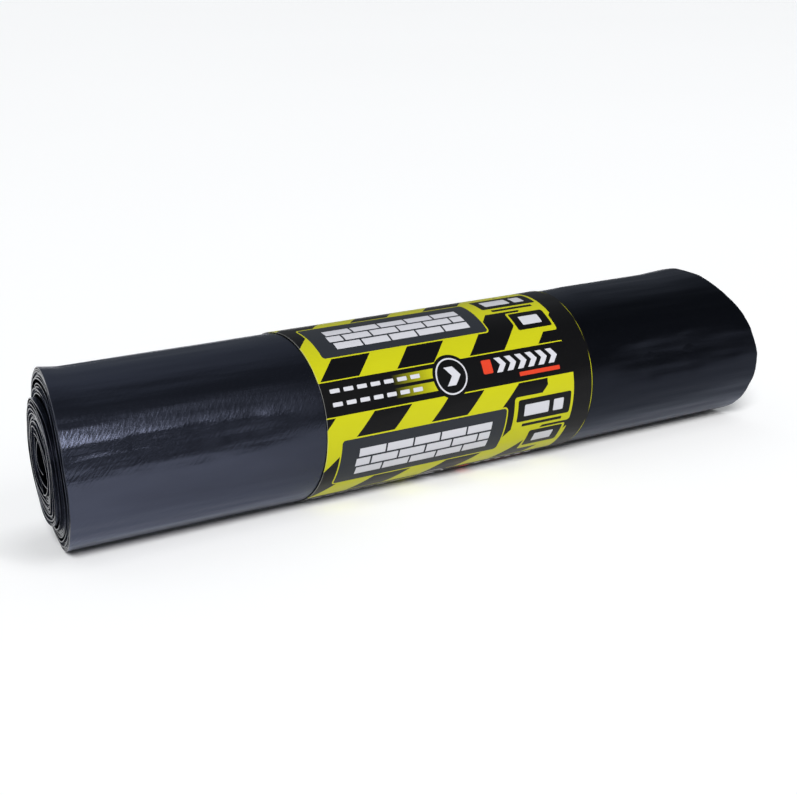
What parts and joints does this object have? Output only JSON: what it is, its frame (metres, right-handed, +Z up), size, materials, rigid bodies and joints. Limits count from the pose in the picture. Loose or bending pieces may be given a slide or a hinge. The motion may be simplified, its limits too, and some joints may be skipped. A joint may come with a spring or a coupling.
{
  "type": "bin bag roll",
  "caption": "Roll of black bin bags lying on its side, wound without a core and held by a printed sleeve with yellow and black stripes.",
  "frame": {"origin": "on the ground at the middle of the bounding box", "axes": "+X along the roll, towards the end away from the proud coil; +Z up from the flat spot"},
  "size_m": [0.3535, 0.0708, 0.0699],
  "materials": {
    "film": "blue-black film with a soft sheen",
    "printed_sleeve": "yellow sleeve with black print"
  },
  "bodies": {
    "root": {"bag_roll": "film", "label_band": "printed_sleeve"}
  },
  "joints": []
}
